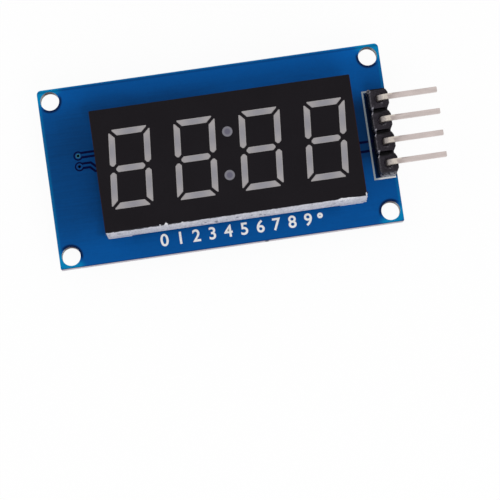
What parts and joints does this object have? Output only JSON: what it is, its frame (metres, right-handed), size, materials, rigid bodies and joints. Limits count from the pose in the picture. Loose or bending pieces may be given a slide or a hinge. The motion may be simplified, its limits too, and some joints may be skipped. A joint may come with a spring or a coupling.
{
  "type": "seven segment display module",
  "caption": "Blue circuit board that carries a black-faced row of seven segment digits with a colon, bent header pins at one end and a driver chip behind.",
  "frame": {"origin": "centre of the four mounting holes, on the back face of the board", "axes": "+X along the board towards the header pins, +Y towards the tops of the digits, +Z out of the digits' face"},
  "size_m": [0.0461, 0.0212, 0.0113],
  "materials": {
    "board": "blue solder mask over glass-epoxy, glossy",
    "masked_copper": "copper ring under the blue mask",
    "tinned_copper": "tinned copper",
    "case_plastic": "white moulded plastic",
    "ink": "matt black printed ink",
    "resin": "pale translucent resin",
    "inner_board": "glass-epoxy",
    "light_chip": "semiconductor chips",
    "tinned_pin": "tinned metal",
    "solder": "bright solder",
    "header_plastic": "black moulded plastic",
    "header_metal": "plated brass, dull silver",
    "chip_plastic": "black moulded epoxy",
    "resistor_body": "ceramic with a black coat",
    "capacitor_body": "tan ceramic"
  },
  "bodies": {
    "root": {"circuit_board": "board", "via_plating": "masked_copper", "display_hole_plating": "tinned_copper", "header_hole_plating": "tinned_copper", "surface_pads": "tinned_copper", "display_case": "case_plastic", "face_ink": "ink", "light_resin": "resin", "chip_board": "inner_board", "colon_chips": "light_chip", "digit_chips_1": "light_chip", "digit_chips_2": "light_chip", "digit_chips_3": "light_chip", "digit_chips_4": "light_chip", "display_pin_1": "tinned_pin", "display_pin_2": "tinned_pin", "display_pin_3": "tinned_pin", "display_pin_4": "tinned_pin", "display_pin_5": "tinned_pin", "display_pin_6": "tinned_pin", "display_pin_7": "tinned_pin", "display_pin_8": "tinned_pin", "display_pin_9": "tinned_pin", "display_pin_10": "tinned_pin", "display_pin_11": "tinned_pin", "display_pin_12": "tinned_pin", "display_solder": "solder", "header_block": "header_plastic", "header_solder": "solder", "header_pin_1": "header_metal", "header_pin_2": "header_metal", "header_pin_3": "header_metal", "header_pin_4": "header_metal", "driver_chip": "chip_plastic", "driver_leads": "tinned_pin", "driver_solder": "solder", "resistor_1": "resistor_body", "resistor_2": "resistor_body", "capacitor_1": "capacitor_body", "capacitor_2": "capacitor_body", "capacitor_3": "capacitor_body", "capacitor_4": "capacitor_body", "resistor_ends": "tinned_pin", "capacitor_ends": "tinned_pin", "small_part_solder": "solder"}
  },
  "joints": []
}
